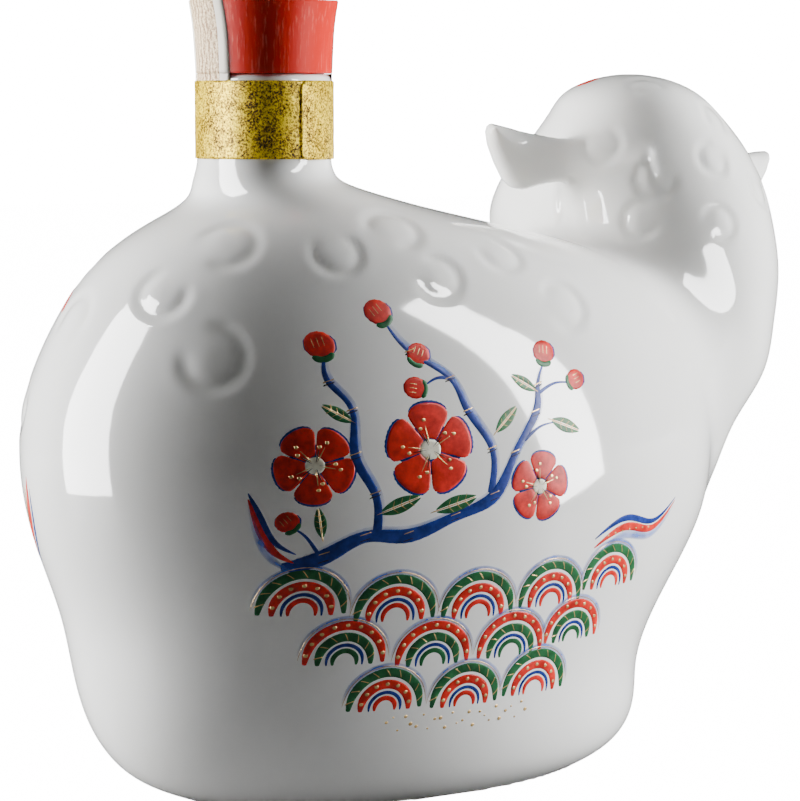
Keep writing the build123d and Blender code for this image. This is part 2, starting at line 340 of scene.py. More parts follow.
# Each curl: place near the skin, radius, direction of its open side in degrees, and which way it winds
curls = (
    (-50.2, -27.2, 85.4, 7.4, 135, 1),
    (-54.2, -16.4, 96.2, 6, 60, -1),
    (-42.1, -18.1, 104.5, 7, 200, 1),
    (-25.4, -28.6, 103.1, 5.6, 100, -1),
    (-12.4, -26.8, 107, 6.4, 220, 1),
    (-7.8, -34.9, 98.7, 5.6, 150, -1),
    (7.8, -30.8, 102.3, 5.8, 120, 1),
    (18.2, -37.2, 92.9, 6, 190, -1),
    (48.3, -7.6, 121.4, 4.6, 110, 1),
    (55.2, -15.9, 115.4, 4.9, 40, 1),
    (68.3, -17.1, 119.2, 4.4, 30, 1),
    (66.3, -22.5, 106.5, 4.4, 200, 1),
    (52.2, -15.7, 107.2, 4.6, 20, -1),
    (59.6, -6.4, 133.1, 4.4, 300, -1),
    (73.4, -11.8, 127.1, 4.4, 240, 1),
    (80, -14, 112, 4.8, 60, -1),
    (86, 6, 106, 5, 140, 1),
    (80, 12, 118, 4.6, 300, -1),
    (72, 12, 129, 4.4, 40, 1),
    (-50.2, 27.2, 85.4, 7.4, 45, -1),
    (-54.2, 14.4, 97, 6, 160, 1),
    (-38.1, 22.1, 103.5, 7, 340, -1),
    (-20.4, 28.6, 103.1, 5.6, 80, 1),
    (-3.4, 29.8, 103, 6.4, 320, -1),
    (12.8, 33.9, 97.7, 5.6, 30, 1),
    (28.8, 35, 90, 5.8, 60, -1),
    (-62, 0, 90, 6, 250, 1),
    (-67, 10, 74, 5.6, 70, -1),
    (12, 8, 108, 5.4, 90, 1),
)
curl_depth = np.zeros(count)
for x, y, z, radius, opening, hand in curls:
    middle = np.array([[x, y, z]], float)
    for _ in range(12):
        slope = slope_of(casting_distance, middle)
        size = np.maximum((slope**2).sum(axis=1), least_slope)
        middle -= slope * (casting_distance(middle) / size)[:, None]
    slope = slope_of(casting_distance, middle)[0]
    slope /= np.linalg.norm(slope)
    right = np.cross((0, 0, 1), slope)
    right /= np.linalg.norm(right)
    above = np.cross(slope, right)
    away = shell - middle[0]
    near = (np.linalg.norm(away, axis=1) < 2 * radius) & (normal @ slope > 0.2)
    u, v = away[near] @ right / radius, away[near] @ above / radius
    rho = np.hypot(u, v)
    turn = (np.degrees(np.arctan2(v, u)) - opening) * hand % 360
    reach = np.clip(np.minimum(turn - 20, 340 - turn) / 50, 0, 1)
    reach = reach * reach * (3 - 2 * reach)
    track = 0.68 + 0.1 * turn / 360
    groove = -0.26 * np.exp(-(((rho - track) / 0.19) ** 2)) * reach
    rim = 0.04 * np.exp(-(((rho - track - 0.36) / 0.18) ** 2)) * reach
    boss = 0.11 * np.exp(-(((u + 0.16) ** 2 + v**2) / 0.13))
    curl_depth[near] += groove + rim + boss
shell += normal * curl_depth[:, None]

# Mouth, cleft and nostrils, drawn into the muzzle as soft grooves: place, width and depth
muzzle_lines = []
for x in np.linspace(53, 68, 16):
    aside = abs(x - face_x)
    muzzle_lines.append(((x, 37.0 - aside * 0.42, 101.6 + aside * 0.3), 0.9, -0.55))
for z in np.linspace(101.8, 104.6, 5):
    muzzle_lines.append(((face_x, 37.4, z), 0.7, -0.4))
for side in (-1, 1):
    for k in range(3):
        muzzle_lines.append(((face_x + side * (2.8 + 0.5 * k), 37.0 - 0.5 * k, 107.3 + 0.5 * k), 0.9, -0.7))
lines = np.zeros(count)
for place, width, depth in muzzle_lines:
    gap = np.linalg.norm(shell - np.array(place), axis=1)
    lines = np.minimum(lines, depth * np.exp(-((gap / width) ** 2)))
shell += normal * lines[:, None]
shell[:, 2] = np.where(shell[:, 2] < 0.12, 0.0, shell[:, 2])


def keep_values(piece, name, values):
    """Keeps a value for each point of a mesh, under a name that its material reads."""
    layer = piece.data.attributes.new(name, "FLOAT", "POINT")
    layer.data.foreach_set("value", np.asarray(values, np.float32))


skin.data.vertices.foreach_set("co", (shell * mm).ravel())
keep_values(skin, "hollow", np.clip(-curl_depth / 0.7, 0, 1))
keep_values(skin, "line", np.clip(-lines / 0.5, 0, 1))
skin.data.update()

# The hollow inside it and the bore up through the neck, and the shallow underside
inner_rows = []
for z, cx, a, cy, b in barrel_rows[:11]:
    inner_rows.append((6.5 + z * 0.894, cx, a - wall, cy, b - wall))
inner_rows.append((107.5, -21.0, 12.2, 0, 12.6))
inner_rows += [(z, neck_x, bore_r, 0, bore_r) for z in (112.5, 116.0)]
inner_table = read_table(oval_rows(inner_rows))
hollow_rings = 40
hollow_points, _ = stacked_ovals(inner_table, lambda t, a, b: (a, b, t), hollow_rings, high=115.0)
hollow_points += neck_circle(bore_r, lip_z - 0.7) + neck_circle(bore_r + 1.3, lip_z + 0.6)
cavity = new_mesh("cavity", hollow_points, ring_faces(hollow_rings + 2, 64))
recess_points = []
for inset, z in ((0, -1), (0, 1.0), (0.4, 1.4)):
    for a in angles_round():
        recess_points.append((1.49 + (37.5 - inset) * math.cos(a), (19.0 - inset) * math.sin(a), z))
recess = new_mesh("recess", recess_points, ring_faces(3, 64))
for cutter in (cavity, recess):
    cut = skin.modifiers.new("cut", "BOOLEAN")
    cut.operation = "DIFFERENCE"
    cut.solver = "EXACT"
    cut.object = cutter
casting = flattened(skin, "casting")
for cutter in (cavity, recess):
    bpy.data.objects.remove(cutter)
casting.data.polygons.foreach_set("use_smooth", [True] * len(casting.data.polygons))


def node_group(family, name, given, made):
    """Empty node group with named sockets. Returns it with those sockets and its two end nodes."""
    tree = bpy.data.node_groups.new(name, family)
    slots = {}
    for way, sockets in (("INPUT", given), ("OUTPUT", made)):
        for title, shape in sockets:
            kind = "NodeSocket" + shape
            slots[title] = tree.interface.new_socket(name=title, in_out=way, socket_type=kind)
    return tree, slots, tree.nodes.new("NodeGroupInput").outputs, tree.nodes.new("NodeGroupOutput").inputs


# Unevenness of glaze, paint, foil and paper: one fractal mask, with its scale in waves to the metre
fractal = ("Scale", "Detail", "Roughness")
unevenness, slots, given, made = node_group(
    "ShaderNodeTree",
    "unevenness",
    (("Place", "Vector"), *((title, "Float") for title in fractal)),
    (("Mask", "Float"),),
)
cloud = unevenness.nodes.new("ShaderNodeTexNoise")
unevenness.links.new(given["Place"], cloud.inputs["Vector"])
for title in fractal:
    unevenness.links.new(given[title], cloud.inputs[title])
unevenness.links.new(cloud.outputs["Fac"], made["Mask"])


class Graph:
    """A node tree, with short ways to add the nodes that the materials share."""

    def __init__(self, tree):
        self.nodes, self.links = tree.nodes, tree.links

    def fill(self, node, given):
        """Feeds a node's inputs, by name or number, from sockets or constants. Returns its outputs."""
        for name, value in given.items():
            socket = node.inputs[name]
            if isinstance(value, bpy.types.NodeSocket):
                self.links.new(value, socket)
            else:
                socket.default_value = (*value, 1) if socket.type == "RGBA" else value
        return node.outputs

    def add(self, kind, given):
        """Adds a node with its inputs fed. Returns its outputs."""
        return self.fill(self.nodes.new(kind), given)

    def noise(self, place, scale, detail=3.0, rough=0.5):
        """Mask of the unevenness group at this scale."""
        node = self.nodes.new("ShaderNodeGroup")
        node.node_tree = unevenness
        given = {"Place": place, "Scale": scale, "Detail": detail, "Roughness": rough}
        return self.fill(node, given)["Mask"]

    def kept(self, name):
        """Value kept for each point of the mesh under this name."""
        node = self.nodes.new("ShaderNodeAttribute")
        node.attribute_name = name
        return node.outputs["Fac"]

    def math(self, operation, *terms):
        """Math node on sockets or numbers."""
        node = self.nodes.new("ShaderNodeMath")
        node.operation = operation
        return self.fill(node, dict(enumerate(terms)))[0]

    def scaled(self, value, start, end, low, high):
        """Value brought from one range into another."""
        given = {"Value": value, "From Min": start, "From Max": end, "To Min": low, "To Max": high}
        return self.add("ShaderNodeMapRange", given)["Result"]

    def ramp(self, source, *stops):
        """Colour ramp: stops of (place, colour), where a grey is one number."""
        node = self.nodes.new("ShaderNodeValToRGB")
        elements = node.color_ramp.elements
        while len(elements) < len(stops):
            elements.new(0.5)
        for element, (place, color) in zip(elements, stops):
            element.position = place
            element.color = (*color, 1) if isinstance(color, tuple) else (color, color, color, 1)
        return self.fill(node, {"Fac": source})["Color"]

    def mixed(self, factor, first, second):
        """Colour mix by a factor: each side is a colour or a socket."""
        node = self.nodes.new("ShaderNodeMix")
        node.data_type = "RGBA"
        return self.fill(node, {0: factor, 6: first, 7: second})[2]

    def bump(self, height, distance, strength):
        """Normal bumped by a height, with its full depth in metres."""
        given = {"Height": height, "Distance": distance, "Strength": strength}
        return self.add("ShaderNodeBump", given)["Normal"]


def new_material(name, color, rough, metal=0.0, coat=0.0):
    """Material with its node graph, its Principled shader and the place of each point."""
    material = bpy.data.materials.new(name)
    material.use_nodes = True
    graph = Graph(material.node_tree)
    shader = graph.nodes["Principled BSDF"]
    graph.fill(shader, {"Base Color": color, "Roughness": rough, "Metallic": metal})
    graph.fill(shader, {"Coat Weight": coat, "Coat Roughness": 0.03})
    return material, graph, shader, graph.nodes.new("ShaderNodeTexCoord").outputs["Object"]


glaze, graph, shader, place = new_material("white_glaze", (0.86, 0.86, 0.84), 0.07, coat=0.6)
white = graph.ramp(graph.noise(place, 28, 4), (0.3, (0.845, 0.845, 0.822)), (0.7, (0.882, 0.884, 0.868)))
# The glaze is mixed greyer in the curls' grooves, the deeper the groove the greyer.
grey_in_grooves = graph.math("MULTIPLY", graph.kept("hollow"), 0.35)
drawn = graph.math("MULTIPLY", graph.kept("line"), 0.85)
color = graph.mixed(drawn, graph.mixed(grey_in_grooves, white, (0.7, 0.7, 0.655)), (0.42, 0.07, 0.05))
height = graph.add("ShaderNodeSeparateXYZ", {0: place})["Z"]
ragged = graph.math("MULTIPLY", graph.noise(place, 600, 2), 0.0009)
bare = graph.scaled(graph.math("ADD", height, ragged), 0.0006, 0.0014, 1.0, 0.0)
orange_peel = graph.scaled(graph.noise(place, 90), 0.0, 1.0, 0.06, 0.1)
surface = {
    "Base Color": graph.mixed(bare, color, (0.72, 0.69, 0.62)),
    "Roughness": graph.math("MAXIMUM", orange_peel, graph.math("MULTIPLY", bare, 0.8)),
    "IOR": 1.5,
    "Subsurface Weight": 0.05,
    "Subsurface Radius": (1.0, 0.9, 0.75),
    "Subsurface Scale": 0.003,
    "Normal": graph.bump(graph.noise(place, 160, 2, 0.4), 0.00003, 0.5),
}
graph.fill(shader, surface)
casting.data.materials.clear()
casting.data.materials.append(glaze)
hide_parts("porcelain_body")
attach(casting, "decanter")

# Enamels and gilding, painted by hand over the fired glaze and fired again: camellias on a cobalt branch
# above rolling waves. Each colour is a thin raised film, drawn in the elevation of its side and laid down.
tree = BVHTree.FromObject(casting, bpy.context.evaluated_depsgraph_get())
casts = {
    "right": lambda a, b: ((a, -200, b), (0, 1, 0)),
    "left": lambda a, b: ((a, 200, b), (0, -1, 0)),
    "rump": lambda a, b: ((-200, a, b), (1, 0, 0)),
    "top": lambda a, b: ((a, b, 300), (0, 0, -1)),
}
films = {}
rim_sunk, root_sunk = 0.015, 0.05


def sheet_faces(rows, columns):
    """Faces of a thin closed sheet: a grid of points for one side, then one for the other."""
    total = rows * columns
    here = np.arange(total).reshape(rows, columns)
    faces = []
    for base, flip in ((0, False), (total, True)):
        for i in range(rows - 1):
            for j in range(columns - 1):
                quad = (here[i, j], here[i + 1, j], here[i + 1, j + 1], here[i, j + 1])
                faces.append(tuple(int(base + q) for q in (quad[::-1] if flip else quad)))
    rim = list(here[0, :]) + list(here[1:, -1]) + list(here[-1, -2::-1]) + list(here[-2:0:-1, 0])
    for a, b in zip(rim, rim[1:] + rim[:1]):
        faces.append((int(a), int(b), int(total + b), int(total + a)))
    return faces


def film(enamel, side, grid, lift):
    """Adds a closed film over a grid of plan points. It is sunk a little at its rim."""
    rows, columns = grid.shape[:2]
    spots = np.empty((rows * columns, 3))
    for i, (a, b) in enumerate(grid.reshape(-1, 2)):
        start, way = casts[side](a, b)
        spot = tree.ray_cast(Vector(start) * mm, Vector(way))[0]
        if spot is None:
            return
        spots[i] = np.array(spot) / mm
    outward = slope_of(casting_distance, spots)
    outward /= np.linalg.norm(outward, axis=1, keepdims=True)
    along = np.linspace(-1, 1, rows)[:, None]
    across = np.linspace(-1, 1, columns)[None, :]
    fullness = 6 if enamel == "gold" else 2
    body = ((1 - along**6) * (1 - np.abs(across) ** fullness)).ravel()
    top = spots + outward * (lift * np.sqrt(np.maximum(body, 0)) - rim_sunk)[:, None]
    under = spots - outward * root_sunk
    store = films.setdefault(enamel, ([], [], []))
    base = sum(len(part) for part in store[0])
    store[0].extend((top, under))
    store[1].extend(tuple(base + q for q in face) for face in sheet_faces(rows, columns))
    store[2].extend(2 * [((1 - np.abs(along) ** 3) * (1 - across**2)).ravel()])


def stroke(enamel, side, points, lift=0.05, steps=0, columns=5):
    """A brush stroke through points of (place, place, width)."""
    read, low, high = read_table([(i, *p) for i, p in enumerate(points)])
    steps = steps or 10 * len(points)
    value, slope = read(np.linspace(low, high, steps))
    way = slope[:, :2] / np.maximum(np.linalg.norm(slope[:, :2], axis=1, keepdims=True), 1e-6)
    aside = np.stack((-way[:, 1], way[:, 0]), axis=1)
    u = np.linspace(-1, 1, columns)[None, :, None]
    width = np.maximum(value[:, 2], 0.12)[:, None, None]
    film(enamel, side, value[:, None, :2] + aside[:, None, :] * u * width / 2, lift)


def dot(enamel, side, a, b, radius, lift=0.06):
    """A round spot."""
    t = np.sin(np.linspace(-math.pi / 2, math.pi / 2, 9))
    half = radius * np.sqrt(np.maximum(1 - t**2, 0.01))
    u = np.linspace(-1, 1, 7)
    grid = np.stack((a + radius * t[:, None] + 0 * u, b + half[:, None] * u), axis=2)
    film(enamel, side, grid, lift)


def spoke(a, b, length, turn):
    """Place at a distance and an angle from another."""
    return a + length * math.cos(turn), b + length * math.sin(turn)


def bend(a, b, radius, start, end, width):
    """Points of an arc, thinned at both ends."""
    turns = np.radians(np.linspace(start, end, 7))
    shares = np.linspace(-1, 1, 7)
    return [(*spoke(a, b, radius, t), width * (1 - 0.55 * k**6)) for t, k in zip(turns, shares)]


def laid_out(a, b, angle):
    """Function that gives the place of (along, aside) from another place, turned by degrees."""
    c, s = math.cos(math.radians(angle)), math.sin(math.radians(angle))
    return lambda p, q: (a + p * c - q * s, b + p * s + q * c)


def leaf(side, a, b, angle, length, width):
    """A leaf: green blade in two halves, with a gilt midrib and veins."""
    at = laid_out(a, b, angle)
    for hand in (-1, 1):
        blade = [(0, 0.1), (0.25, 0.62), (0.55, 0.8), (0.85, 0.42), (1.0, 0.1)]
        points = []
        for p, w in blade:
            points.append((*at(p * length, hand * (0.1 + w * width / 4)), w * width / 2))
        stroke("green", side, points, 0.05, 26)
    stroke("gold", side, [(*at(p * length, 0), 0.28) for p in (-0.15, 0.3, 0.7, 0.98)], 0.08, 16, 3)
    for p in (0.3, 0.5, 0.7):
        for aside in (-0.34 * width, 0.34 * width):
            vein = [(*at((p + 0.1 * k) * length, k * aside), 0.16) for k in (0, 0.5, 1)]
            stroke("gold", side, vein, 0.08, 8, 3)


def flower(side, a, b, radius, turn):
    """An open blossom: five round petals with a cobalt edge, and a pale heart with gilt stamens."""
    petals = 5
    s = np.linspace(0, 1, 12)[:, None]
    v = np.linspace(-1, 1, 13)[None, :]
    half = math.pi / petals * (1.04 - 0.05 * s**6)
    for enamel, grow, lift in (("cobalt", 1.07, 0.03), ("red", 1.0, 0.07)):
        dot(enamel, side, a, b, radius * 0.74, 0.03)
        reach = radius * grow * (0.2 + s * (0.8 - 0.17 * v**4))
        for k in range(petals):
            spread = math.radians(turn) + 2 * math.pi * k / petals + v * half
            petal = np.stack((a + reach * np.cos(spread), b + reach * np.sin(spread)), axis=2)
            film(enamel, side, petal, lift)
    dot("cream", side, a, b, radius * 0.24, 0.09)
    for k in range(2 * petals):
        ray = math.radians(turn + 11 * (-1) ** k) + math.pi * k / petals
        far = (0.56, 0.4)[k % 2] + 0.05 * math.sin(3.1 * k)
        thread = ((0.06, 0.22), (0.5 * far, 0.34), (far, 0.26))
        line = [(*spoke(a, b, radius * r, ray), w) for r, w in thread]
        stroke(("gold", "dark")[k % 2], side, line, 0.11, 10, 3)
        dot("gold", side, *spoke(a, b, radius * (far + 0.07), ray), 0.36, 0.12)


def bud(side, a, b, radius, turn):
    """A round bud with its green calyx and gilt flecks."""
    dot("cobalt", side, a + 0.1, b, radius * 1.1, 0.03)
    dot("red", side, a, b, radius, 0.07)
    stroke("green", side, bend(a, b, radius * 0.92, turn + 130, turn + 230, radius * 0.5), 0.09, 16)
    at = laid_out(a, b, turn)
    for q in (-0.3, 0.05, 0.4):
        fleck = [(*at(radius * p, radius * q), 0.22) for p in (-0.2, 0.2, 0.55)]
        stroke("gold", side, fleck, 0.1, 8, 3)


def wave(side, a, b, radius, order):
    """One rolling wave: nested arcs, the outer one hatched or dotted in gold."""
    bands = (("green", 2.1), ("red", 2.1), ("cobalt", 0.8), ("red", 1.1))
    if order % 2:
        bands = (("red", 2.1), ("green", 2.0), ("cobalt", 0.8), ("green", 1.1))
    reach = radius
    for k, (enamel, width) in enumerate(bands):
        middle = reach - width / 2
        drop = 6 + 4 * k
        stroke(enamel, side, bend(a, b, middle, 180 + drop, -drop, width), 0.05, 34)
        if k == 0:
            stroke("wash", side, bend(a, b, reach + 0.3, 176, 4, 1.3), 0.03, 30, 7)
        for t in np.radians(np.linspace(168, 12, 9 if k == 0 else 7)):
            if enamel == "red" and k < 2:
                dot("gold", side, *spoke(a, b, middle, t), 0.38, 0.09)
            elif enamel == "green" and k < 2:
                tick = [(*spoke(a, b, middle + q, t + q * 0.1), 0.3) for q in (-0.75, 0, 0.75)]
                stroke("gold", side, tick, 0.09, 6, 3)
        reach -= width + 0.12
    stroke("gold", side, bend(a, b, radius + 0.15, 178, 2, 0.22), 0.07, 30, 3)


branch = [(-42, 48, 2.2), (-34, 50.0, 3.4), (-27, 53.4, 2.5), (-19, 53.2, 3.0), (-10, 56.2, 2.1)]
branch += [(-2, 59.5, 2.7), (2.5, 67, 1.6), (7.5, 74, 1.9), (8.5, 79, 1.0), (10.5, 83, 0.5)]
rear_twig = [(-25, 53.2, 2.3), (-25.5, 61, 1.6), (-29, 68, 1.9), (-29, 76, 1.1), (-32.5, 81, 1.2)]
rear_twig += [(-32.5, 86, 0.4)]
front_twig = [(-3, 59.5, 2), (-2.5, 68, 1.4), (-7, 75, 1.6), (-10, 81, 1), (-17, 86, 1), (-21, 92, 0.3)]
thorns = ((-35, 50.5, -39.6, 55.4), (4.5, 69, 11.5, 72), (8.6, 77.5, 16, 79.0), (-10, 81, -15.5, 79.6))
wave_rows = ((37.5, (-37, -20.5, -4, 12.5, 28)), (29.0, (-28.5, -12, 4.5, 20)), (20.5, (-20, -4, 11.5)))
for side in ("right", "left"):
    for line in (branch, rear_twig, front_twig):
        stroke("wash", side, [(a + 0.2, b + 0.3, w + 1.0) for a, b, w in line], 0.03, 60, 9)
        stroke("cobalt", side, line, 0.055, 60, 7)
        for k in range(1, len(line) - 1):
            a, b, w = line[k]
            for drop, enamel in ((0.2, "gold"), (-0.24, "dark")):
                mark = [(a + p, b + drop * w + 0.3 * p, 0.3) for p in (-1.1, 0, 1.1)]
                stroke(enamel, side, mark, 0.09, 8, 3)
    for a, b, far_a, far_b in thorns:
        line = [(a, b, 0.9), ((a + far_a) / 2, (b + far_b) / 2 + 0.8, 0.6), (far_a, far_b, 0.3)]
        stroke("cobalt", side, line, 0.05, 20)
    for a, b, angle, length, width in (
        (-24.5, 57.5, 20, 8.0, 3.6),
        (-14, 57.4, 15, 8.5, 3.8),
        (-1.5, 71, 42, 6.5, 3.0),
        (-34.5, 53.5, 100, 5.5, 2.6),
        (11, 72.5, -20, 7.0, 3.2),
        (-29, 74, 150, 6.0, 2.8),
        (8, 78, 150, 6.0, 2.8),
    ):
        leaf(side, a, b, angle, length, width)
    flower(side, -15.0, 68.6, 8.6, 18)
    flower(side, -36.0, 66.5, 7.2, 50)
    flower(side, 8.0, 60.5, 6.6, 80)
    for a, b, radius, turn in (
        (-33.0, 87.5, 2.7, 100),
        (-21.5, 93.0, 2.5, 120),
        (-17.0, 79.6, 2.2, 170),
        (10.8, 84.8, 2.4, 80),
        (17.5, 79.5, 2.1, 20),
        (-40.5, 56.5, 2.1, 130),
        (-15.5, 85.5, 2.2, 60),
    ):
        bud(side, a, b, radius, turn)
    for order, (level, spots) in enumerate(wave_rows):
        for a in spots:
            wobble = math.sin(2.7 * a + order)
            wave(side, a + 0.3 * wobble, level + 0.0022 * (a + 5) ** 2, 8.1 + 0.25 * wobble, order)
    for shift, enamel, width in ((0, "cobalt", 1.5), (1.7, "red", 1.9), (3.3, "wash", 2.0)):
        fore = [(22, 49 - shift, 0.3), (31, 52.5 - shift, width)]
        fore += [(39, 51 - shift * 0.8, width * 0.8), (47, 55 - shift * 0.3, 0.2)]
        hind = [(-47, 62 - shift * 0.6, 0.2), (-45, 57.5 - shift, width)]
        hind += [(-42.5, 53 - shift, width * 0.8), (-38.5, 50.5 - shift, 0.2)]
        for line in (fore, hind):
            stroke(enamel, side, line, 0.05, 40)
    for p in np.linspace(26, 38, 7):
        dot("gold", side, p, 50.2 - 0.012 * (p - 33) ** 2, 0.24, 0.09)
    for k in range(26):
        b = 17.4 + 1.5 * math.sin(2.4 * k) + 0.004 * (k - 13) ** 2
        dot("gold", side, -19.5 + 1.2 * k, b, 0.3 + 0.1 * math.sin(5.1 * k), 0.1)

# Strokes on the rump, the spot on the crown, and the eyes
stroke("red", "rump", [(7, 92, 1.4), (9, 94.5, 1.8), (11, 96, 0.6)], 0.08)
dot("gold", "rump", 9.5, 94.6, 0.4, 0.13)
stroke("red", "rump", [(4.5, 62.5, 0.3), (5.5, 57, 2.0), (8, 51, 2.4), (11.5, 46, 0.4)], 0.08)
stroke("cobalt", "rump", [(3.2, 60.5, 0.2), (4.0, 55, 1.0), (6.2, 49.5, 1.2), (9.5, 44, 0.3)], 0.07)
stroke("gold", "rump", [(6.2, 60.5, 0.2), (7.2, 55, 0.5), (9.8, 49.5, 0.4)], 0.12)
dot("red", "top", 55.0, 6.5, 2.6, 0.06)
for eye_x, hand in ((50.2, -1), (70.8, 1)):
    eye = [(eye_x - 3.4, 119.4 - 0.4 * hand, 0.3), (eye_x - 1, 120, 2.5)]
    eye += [(eye_x + 1, 120, 2.5), (eye_x + 3.4, 119.4 + 0.4 * hand, 0.3)]
    stroke("dark", "left", eye, 0.09, 24, 9)
    stroke("dark", "left", bend(eye_x, 118.6, 4.6, 150, 30, 0.35), 0.09, 20, 3)
    dot("cream", "left", eye_x + 0.7, 120.6, 0.45, 0.13)
    stroke("red", "left", bend(eye_x, 117.4, 5.4, 130, 50, 0.35), 0.08, 20, 3)

# Brushed paint: thick where the brush was full, thin where it ran dry
brushed, slots, given, made = node_group(
    "ShaderNodeTree",
    "brushed_paint",
    (("Place", "Vector"), ("Thick", "Color"), ("Thin", "Color")),
    (("Color", "Color"), ("Height", "Float")),
)
graph = Graph(brushed)
dry = graph.ramp(graph.noise(given["Place"], 420, 4, 0.6), (0.32, 0.0), (0.68, 1.0))
graph.links.new(graph.mixed(dry, given["Thick"], given["Thin"]), made["Color"])
graph.links.new(graph.noise(given["Place"], 900, 2), made["Height"])

enamels = {
    "red": ("red_enamel", (0.56, 0.016, 0.01), 0.3),
    "cobalt": ("cobalt_enamel", (0.012, 0.03, 0.2), 0.26),
    "wash": ("pale_blue_wash", (0.07, 0.17, 0.62), 0.22),
    "green": ("green_enamel", (0.01, 0.095, 0.03), 0.28),
    "gold": ("gilding", (0.66, 0.44, 0.19), 0.2),
    "cream": ("cream_enamel", (0.86, 0.8, 0.62), 0.28),
    "dark": ("dark_enamel", (0.018, 0.01, 0.008), 0.26),
}
for enamel, (name, tone, rough) in enamels.items():
    points, faces, fade = films[enamel]
    coat = new_mesh(name, np.concatenate(points), faces)
    paint, graph, shader, place = new_material(name, tone, rough, 0.4 if enamel == "gold" else 0.0)
    brush = graph.nodes.new("ShaderNodeGroup")
    brush.node_tree = brushed
    thick, thin = tuple(c * 0.62 for c in tone), tuple(min(c * 1.35 + 0.006, 1) for c in tone)
    brushwork = graph.fill(brush, {"Place": place, "Thick": thick, "Thin": thin})
    surface = {
        "Base Color": brushwork["Color"],
        "Specular IOR Level": 0.15,
        "Normal": graph.bump(brushwork["Height"], 0.00002, 0.6),
    }
    if enamel == "wash":
        keep_values(coat, "fade", np.concatenate(fade))
        bled = graph.math("MULTIPLY", graph.kept("fade"), graph.noise(place, 260))
        surface["Alpha"] = graph.math("MULTIPLY", bled, 1.1)
    graph.fill(shader, surface)
    coat.data.materials.append(paint)
    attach(coat, "decanter")

# Neck label: gilt foil, bare of print, glued round the neck over both ends of the seal strip.
# Its outer end laps over the other with rounded corners and springs off it a little.
def band(radius, thick, low, high, start, end, steps, levels, corner=0.0, crinkle=0.0, spring=0.0):
    """Closed strip round the neck between two angles. The corners at its start may be rounded."""
    angles = np.radians(np.linspace(start, end, steps))
    points = []
    rng = np.random.default_rng(7)
    waves = [(rng.uniform(0.5, 3.2), rng.uniform(0.3, 2.2), rng.uniform(0, 6.3)) for _ in range(14)]
    for outer in (True, False):
        for a in angles:
            run = abs(a - angles[0]) * radius
            cut = corner - math.sqrt(max(corner**2 - (corner - min(run, corner)) ** 2, 0))
            lift = spring * math.exp(-run / 1.2)
            for k in range(levels):
                z = low + cut + (high - low - 2 * cut) * k / (levels - 1)
                ripple = sum(math.sin(f * a * radius + g * z + h) for f, g, h in waves) / 14 * crinkle
                r = radius + lift + ripple + (thick if outer else 0.0)
                points.append((neck_x + r * math.cos(a), r * math.sin(a), z))
    return points, sheet_faces(steps, levels)


ring_points, ring_quads = band(12.84, 0.13, 119.9, 134.3, -26, 329, 240, 30, crinkle=0.05)
flap_points, flap_quads = band(
    12.99, 0.13, 119.75, 134.15, -88, -22, 70, 30, corner=1.3, crinkle=0.05, spring=0.26
)
flap_quads = [tuple(i + len(ring_points) for i in quad) for quad in flap_quads]
label = new_mesh("foil_label", ring_points + flap_points, ring_quads + flap_quads)
foil, graph, shader, place = new_material("gold_foil", (0.84, 0.6, 0.02), 0.3, 0.14)
# Painted reflection: the dark flecks in the foil's colour stand for its crinkles mirroring the dark room.
speck = graph.math("MULTIPLY", graph.noise(place, 2500, 3, 0.75), 0.75)
patch = graph.noise(place, 420, 3, 0.6)
dark_reflection_flecks = graph.math("ADD", speck, graph.math("MULTIPLY", patch, 0.25))
gilt = graph.ramp(
    dark_reflection_flecks, (0.43, (0.02, 0.01, 0.001)), (0.49, (0.4, 0.24, 0.006)), (0.57, (0.92, 0.68, 0.022))
)
surface = {
    "Base Color": gilt,
    "Roughness": graph.ramp(patch, (0.3, 0.42), (0.7, 0.28)),
    "Specular IOR Level": 0.08,
    "Normal": graph.bump(graph.noise(place, 2300, 3, 0.65), 0.00008, 0.9),
}
graph.fill(shader, surface)
label.data.materials.append(foil)
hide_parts("neck_label")
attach(label, "decanter")

# Seal strip: banknote-like paper with a fine guilloche in pinkish beige and a plain margin.
# It runs over the stopper, and its two ends are glued to the neck under the label.
paper, graph, shader, place = new_material("seal_paper", (0.85, 0.83, 0.8), 0.55)
across, along = graph.kept("across"), graph.kept("along")
total = graph.noise(place, 2600, 3, 0.8)
for pitch, depth, swing, phase in ((5.2, 1.1, 2.1, 0.0), (4.3, 1.5, 1.3, 1.7), (7.9, 0.8, 3.1, 0.6)):
    weave = graph.math("SINE", graph.math("MULTIPLY_ADD", along, swing, phase))
    line = graph.math("MULTIPLY_ADD", weave, depth, graph.math("MULTIPLY", across, pitch))
    total = graph.math("MULTIPLY_ADD", graph.math("SINE", line), 0.055, total)
printed = graph.ramp(
    total, (0.38, (0.26, 0.15, 0.08)), (0.5, (0.6, 0.43, 0.26)), (0.62, (0.88, 0.74, 0.5))
)
below, above = graph.math("LESS_THAN", across, 4.6), graph.math("GREATER_THAN", across, -3.8)
surface = {
    "Base Color": graph.mixed(graph.math("MULTIPLY", below, above), (0.85, 0.8, 0.7), printed),
    "Specular IOR Level": 0.15,
    "Normal": graph.bump(graph.noise(place, 1200), 0.00003, 0.5),
}
graph.fill(shader, surface)

cap_z, cap_height = 135.65, 13.5
strip_half = 6.5
side_out = ((0.0, 12.62), (0.34, 12.82), (0.68, 13.2), (1.0, 13.9))
side_curve = read_table([(h * cap_height, r) for h, r in side_out])[0]


def cap_radius(h):
    """Radius of the cap's side at a height above its foot."""
    return side_curve(np.array([h]))[0][0, 0]


def strip_path(thick):
    """Half section of the strip: up the cap's side, over its rim and along its top."""
    top = cap_height + thick
    path = [(cap_radius(h) + thick, h) for h in np.linspace(0, 13.1, 22)]
    path += [(13.88 + thick * 0.9, 13.3 + thick * 0.3), (13.75 + thick * 0.5, top)]
    return path + [(r, top) for r in np.linspace(13.1, 0, 16)]


